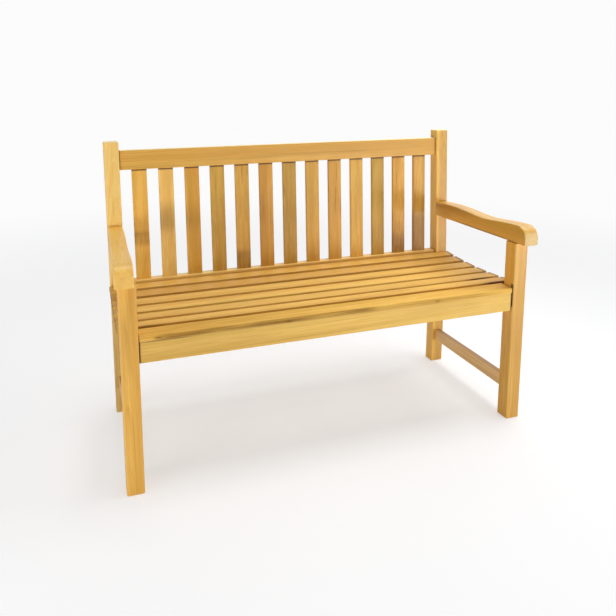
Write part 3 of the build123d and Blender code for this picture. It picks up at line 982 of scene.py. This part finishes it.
@dataclass
class Seat:
    """The seat: long boards, the front board, the front rail and the centre bearer.

    Attributes:
        board_tones: the tones of the boards on the bearers, from the rear.
        rail_joints: where along the front rail the painted shade beside the legs lies, in metres.
        front_knots: the front board's knots.
        front_streaks: dark lengths along the front board's front face.
        rail_streaks: painted shadow on the front rail under the front board.
        left_painted_shade: painted shade over the left half of each board.
        front_left_painted_shade: painted shade over the left half of the front board and the front rail.
        right_end_painted_shade: painted shade over the right end of each board and its tip.
        gap_painted_shadow: painted shadow at the ends of the front edges of some boards, in the gaps near
            the legs, by the board's number.
        front_finish: the front board's finish.
        rail_finish: the front rail's finish, with fewer greenish bands.
        finish: the finish of the other planks, whose dark end tint also paints shade on the rounded board
            ends.
    """

    board_tones: tuple[Tone, ...] = (
        Tone.HONEY, Tone.TOFFEE, Tone.HONEY, Tone.HONEY, Tone.HONEY, Tone.HONEY
    )
    rail_joints: Pair = (-LEG_INNER, LEG_INNER)
    front_knots: tuple[Knot, ...] = (
        Knot((-0.515, -0.0255, -0.002), 0.005, 0.7, 3.0),
        Knot((-0.163, -0.0255, -0.008), 0.007, 1.0, 2.0),
        Knot((-0.245, -0.0255, -0.009), 0.004, 0.9, 3.0),
        Knot((0.30, -0.0255, -0.004), 0.006, 0.4),
    )
    front_streaks: tuple[DarkLength, ...] = (
        DarkLength((-0.0265, -0.006), (-0.54, 0.12), (0.010, 0.0145), 0.58, 0.06),
        DarkLength((-0.0265, -0.009), (-0.54, -0.36), (0.009, 0.006), 0.35, 0.04),
        DarkLength((-0.0265, -0.006), (-0.30, -0.08), (0.009, 0.010), 0.25, 0.06),
        DarkLength((-0.0265, -0.006), (-0.05, 0.56), (0.009, 0.0135), 0.36, 0.15),
    )
    rail_streaks: tuple[DarkLength, ...] = (
        DarkLength((-0.012, 0.0295), (-0.60, -0.38), (0.008, 0.005), 0.8, 0.08),
        DarkLength((-0.012, 0.0295), (-0.50, 0.40), (0.008, 0.0045), 0.25, 0.15),
    )
    left_painted_shade: DarkLength = DarkLength((0.0, 0.0), (-1.0, 0.0), (0.08, 0.04), 0.13, 0.55)
    front_left_painted_shade: DarkLength = DarkLength((0.0, 0.0), (-1.2, 0.1), (0.1, 0.1), 0.21, 0.55)
    right_end_painted_shade: tuple[DarkLength, ...] = (
        DarkLength((0.0, 0.0), (0.55, 0.80), (0.08, 0.04), 0.25, 0.05),
        DarkLength((0.0, 0.0), (0.594, 0.80), (0.08, 0.04), 0.75, 0.012),
    )
    gap_painted_shadow: dict[int, tuple[DarkLength, ...]] = field(
        default_factory=lambda: {
            5: (DarkLength((-0.0235, 0.0), (0.47, 0.60), (0.007, 0.010), 1.0, 0.05),),
            6: (
                DarkLength((-0.0235, 0.002), (-0.62, -0.46), (0.008, 0.012), 1.0, 0.12),
                DarkLength((-0.0235, 0.002), (0.48, 0.70), (0.008, 0.012), 1.0, 0.06),
            ),
        }
    )
    front_finish: OiledTimber = OiledTimber(gloss=0.56, shine=0.15, joint_shade_reach=0.005)
    rail_finish: OiledTimber = OiledTimber(gloss=0.56, olive_depth=0.12, stain_depth=0.2, joint_shade_reach=0.005)
    # The dark end tint over a wide end turn paints shade on the rounded ends of the boards
    finish: OiledTimber = OiledTimber(
        gloss=0.56,
        end_tint=from_screen(112, 74, 44),
        end_depth=0.75,
        end_turn=(0.3, 0.8),
        joint_shade_reach=0.005,
    )

    def front_board(self) -> Plank:
        """Cut the front board, with its knots, its dark lengths and the painted shade on its left half."""
        return Plank(
            "front_seat_board",
            GrainAxis.ACROSS,
            Tone.HONEY,
            Sawn.FLAT,
            knots=self.front_knots,
            streaks=(self.front_left_painted_shade, *self.front_streaks),
        )

    def front_rail(self) -> Plank:
        """Cut the front rail, with the painted shade on its left half and the painted shadow under the
        front board.
        """
        return Plank(
            "front_rail",
            GrainAxis.ACROSS,
            Tone.GOLD,
            Sawn.FLAT,
            joints=self.rail_joints,
            streaks=(self.front_left_painted_shade, *self.rail_streaks),
        )

    def planks(self) -> list[Plank]:
        """List the centre bearer and the boards on the bearers, from the rear to the front."""
        planks = [Plank("centre_bearer", GrainAxis.DEEP, Tone.OLIVE)]
        for number, tone in enumerate(self.board_tones, 1):
            # Painted shade on the left half and the right end, and painted shadow in the gaps near the legs
            streaks = (self.left_painted_shade, *self.right_end_painted_shade, *self.gap_painted_shadow.get(number, ()))
            board = Plank(f"seat_board_{number}", GrainAxis.ACROSS, tone, Sawn.RIFT, streaks=streaks)
            planks.append(board)
        return planks

    def dress(self, nodes: Nodes) -> None:
        """Put the timber on every plank of the seat.

        Args:
            nodes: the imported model's nodes by name.
        """
        front = self.front_board()
        self.front_finish.dress(nodes, front)
        rail = self.front_rail()
        self.rail_finish.dress(nodes, rail)
        for plank in self.planks():
            self.finish.dress(nodes, plank)


@dataclass
class Fasteners:
    """The bolts, washers, barrel nuts, screws and pegs.

    Attributes:
        steel_nodes: the nodes of zinc-plated steel.
        steel: their finish.
        peg_finish: the pegs' timber.
    """

    steel_nodes: tuple[str, ...] = ("frame_bolts", "bolt_washers", "barrel_nuts", "seat_screws")
    steel: ZincSteel = ZincSteel()
    peg_finish: OiledTimber = OiledTimber(ring_width=0.0016, gloss=0.55)

    def dress(self, nodes: Nodes) -> None:
        """Put zinc on the steel fasteners and timber on the pegs.

        Args:
            nodes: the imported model's nodes by name.
        """
        for node in self.steel_nodes:
            self.steel.dress(nodes, node)
        pegs = Plank("tenon_pegs", GrainAxis.ACROSS, Tone.RUSSET, Sawn.FLAT, straight=False)
        self.peg_finish.dress(nodes, pegs)


@dataclass(frozen=True)
class SoftLamp:
    """A broad, far lamp.

    Attributes:
        name: the lamp's name.
        bearing: where it stands, in degrees from straight in front towards the right.
        height: how high it stands above the horizon, in degrees.
        level: how bright a white face square to it looks, with 1 as white.
        spread: how broad it looks from the bench, in degrees.
    """

    name: str
    bearing: float
    height: float
    level: float
    spread: float

    def hang(self) -> None:
        """Hang the lamp so that it shines at the bench."""
        light = bpy.data.lights.new(self.name, "SUN")
        light.energy = self.level * math.pi
        light.angle = math.radians(self.spread)
        lamp = bpy.data.objects.new(self.name, light)
        lamp.rotation_euler = (math.radians(90.0 - self.height), 0.0, math.radians(self.bearing))
        bpy.context.scene.collection.objects.link(lamp)
        LOG.info("%s hung", self.name)


@dataclass(frozen=True)
class Softbox:
    """A softbox near the bench, unseen itself.

    Attributes:
        name: the softbox's name.
        place: where it stands, in metres.
        aim: the point that it shines at, in metres.
        size: its width and height, in metres.
        level: how bright a white face square to it looks there, with 1 as white.
    """

    name: str
    place: Triple
    aim: Triple
    size: Pair
    level: float

    def hang(self) -> None:
        """Set the softbox up so that it shines at its aim."""
        beam = Vector(self.aim) - Vector(self.place)
        light = bpy.data.lights.new(self.name, "AREA")
        light.energy = self.level * math.pi**2 * beam.length_squared
        light.shape = "RECTANGLE"
        light.size, light.size_y = self.size
        lamp = bpy.data.objects.new(self.name, light)
        lamp.location = self.place
        lamp.rotation_euler = beam.to_track_quat("-Z", "Y").to_euler()
        lamp.visible_camera = False
        bpy.context.scene.collection.objects.link(lamp)
        LOG.info("%s set up", self.name)


@dataclass
class Studio:
    """A pale floor under soft light.

    Attributes:
        floor_radius: how far the floor reaches, in metres.
        floor_sides: how many sides its rim has.
        floor_shade: the floor's colour.
        floor_bounce: the floor's colour for the light that it throws back on the bench.
        floor_glow: how much the floor is lifted towards white where it is looked at.
        floor_fade: how far off the floor starts to turn into the backdrop and where it has, in metres.
        dome: how much light comes from all round.
        backdrop: how bright the backdrop looks.
        lamps: the lamps round the bench.
    """

    floor_radius: float = 40.0
    floor_sides: int = 96
    floor_shade: Colour = (0.555, 0.56, 0.575, 1.0)
    floor_bounce: Colour = (0.9, 0.9, 0.9, 1.0)
    floor_glow: float = 0.5
    floor_fade: Pair = (1.0, 4.0)
    dome: float = 0.16
    backdrop: float = 0.97
    lamps: tuple[SoftLamp | Softbox, ...] = (
        SoftLamp("overhead_lamp", 80.0, 86.0, 0.33, 25.0),
        SoftLamp("rear_lamp", 165.0, 34.0, 0.12, 50.0),
        Softbox("top_softbox", (1.2, 0.0, 1.9), (0.0, 0.0, 0.43), (1.2, 1.0), 0.44),
        Softbox("front_softbox", (1.9, -2.6, 0.22), (0.0, -0.2, 0.40), (2.2, 0.42), 0.40),
        Softbox("left_softbox", (-2.6, -1.5, 0.32), (0.0, 0.0, 0.45), (1.2, 0.5), 0.31),
    )

    def build(self) -> None:
        """Make the floor, the lamps and the world."""
        self.lay_floor()
        for lamp in self.lamps:
            lamp.hang()
        self.light_world()

    def lay_floor(self) -> None:
        """Lay a round floor under the bench."""
        mesh = bpy.data.meshes.new("floor")
        shape = bmesh.new()
        bmesh.ops.create_circle(
            shape, cap_ends=True, segments=self.floor_sides, radius=self.floor_radius
        )
        shape.to_mesh(mesh)
        shape.free()
        floor = bpy.data.objects.new("floor", mesh)
        bpy.context.scene.collection.objects.link(floor)
        mesh.materials.append(self.floor_paint())
        LOG.info("floor laid")

    def floor_paint(self) -> Material:
        """Make the floor's paint, lifted towards white for what looks at it."""
        material = bpy.data.materials.new("pale_floor")
        material.use_nodes = True
        graph = Graph(material.node_tree)
        seen = self.seen(graph, False)
        away = graph.vector("LENGTH", graph.add("TexCoord").outputs["Object"])
        far = graph.math("MULTIPLY", seen, graph.ramp(away, *self.floor_fade))
        paint = graph.add("BsdfDiffuse")
        graph.feed(paint.inputs["Color"], graph.blend(seen, self.floor_bounce, self.floor_shade))
        near_glow = graph.add("Emission")
        graph.feed(near_glow.inputs["Strength"], graph.math("MULTIPLY", seen, self.floor_glow))
        near = graph.add("AddShader")
        graph.feed(near.inputs[0], paint.outputs["BSDF"])
        graph.feed(near.inputs[1], near_glow.outputs["Emission"])
        far_glow = graph.add("Emission")
        far_glow.inputs["Strength"].default_value = self.backdrop
        both = graph.add("MixShader")
        graph.feed(both.inputs[0], far)
        graph.feed(both.inputs[1], near.outputs["Shader"])
        graph.feed(both.inputs[2], far_glow.outputs["Emission"])
        graph.feed(graph.add("OutputMaterial").inputs["Surface"], both.outputs["Shader"])
        return material

    def seen(self, graph: Graph, mirrored: bool) -> Socket:
        """Tell what is looked at from what only lights the bench.

        Args:
            graph: the graph that asks.
            mirrored: whether what is seen in a shiny face counts.

        Returns:
            The socket of 1 where it is looked at and 0 elsewhere.
        """
        path = graph.add("LightPath")
        seen = graph.math("MAXIMUM", path.outputs["Is Camera Ray"], path.outputs["Is Transmission Ray"])
        return graph.math("MAXIMUM", seen, path.outputs["Is Glossy Ray"]) if mirrored else seen

    def light_world(self) -> None:
        """Light the bench from all round, with a white backdrop for what looks at it."""
        world = bpy.data.worlds.new("soft_room")
        world.use_nodes = True
        bpy.context.scene.world = world
        graph = Graph(world.node_tree)
        sky = graph.add("Background")
        sky.inputs["Color"].default_value = WHITE
        level = graph.ramp(self.seen(graph, True), 0.0, 1.0, self.dome, self.backdrop)
        graph.feed(sky.inputs["Strength"], level)
        graph.feed(graph.add("OutputWorld").inputs["Surface"], sky.outputs["Background"])


@dataclass(frozen=True)
class PhotoCamera:
    """The camera that took the photograph.

    Attributes:
        place: where it stands, in metres.
        turn: how far it looks to the right of straight ahead, in degrees.
        dip: how far it looks down, in degrees.
        roll: how far it leans, in degrees.
        focal_pixels: its focal length in pixels of the picture.
        centre: where its axis meets the picture, in pixels from the top left corner.
    """

    place: Triple = (-0.6795, -1.6882, 1.0601)
    turn: float = 17.27
    dip: float = 8.81
    roll: float = -0.53
    focal_pixels: float = 601.5
    centre: Pair = (266.0, 176.0)

    def build(self) -> None:
        """Make the camera and look through it."""
        data = bpy.data.cameras.new("photo_camera")
        data.sensor_width = SENSOR_WIDTH
        data.lens = self.focal_pixels / FRAME_PIXELS * SENSOR_WIDTH
        data.shift_x = (FRAME_PIXELS / 2 - self.centre[0]) / FRAME_PIXELS
        data.shift_y = (self.centre[1] - FRAME_PIXELS / 2) / FRAME_PIXELS
        camera = bpy.data.objects.new("photo_camera", data)
        bearing = Matrix.Rotation(math.radians(-self.turn), 4, "Z")
        tilt = Matrix.Rotation(math.radians(90.0 - self.dip), 4, "X")
        lean = Matrix.Rotation(math.radians(self.roll), 4, "Z")
        camera.matrix_world = Matrix.Translation(self.place) @ bearing @ tilt @ lean
        bpy.context.scene.collection.objects.link(camera)
        bpy.context.scene.camera = camera
        LOG.info("camera set at %s", self.place)


def main() -> None:
    """Load the bench, dress it and set it in the studio."""
    logging.basicConfig(level=logging.INFO, format="%(name)s: %(message)s")
    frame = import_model()
    nodes = frame["nodes"]
    PhotoCamera().build()
    for assembly in (SideFrames(), Back(), Seat(), Fasteners()):
        assembly.dress(nodes)
    Studio().build()
    bpy.context.scene.view_settings.view_transform = "Standard"


if __name__ == "__main__":
    main()
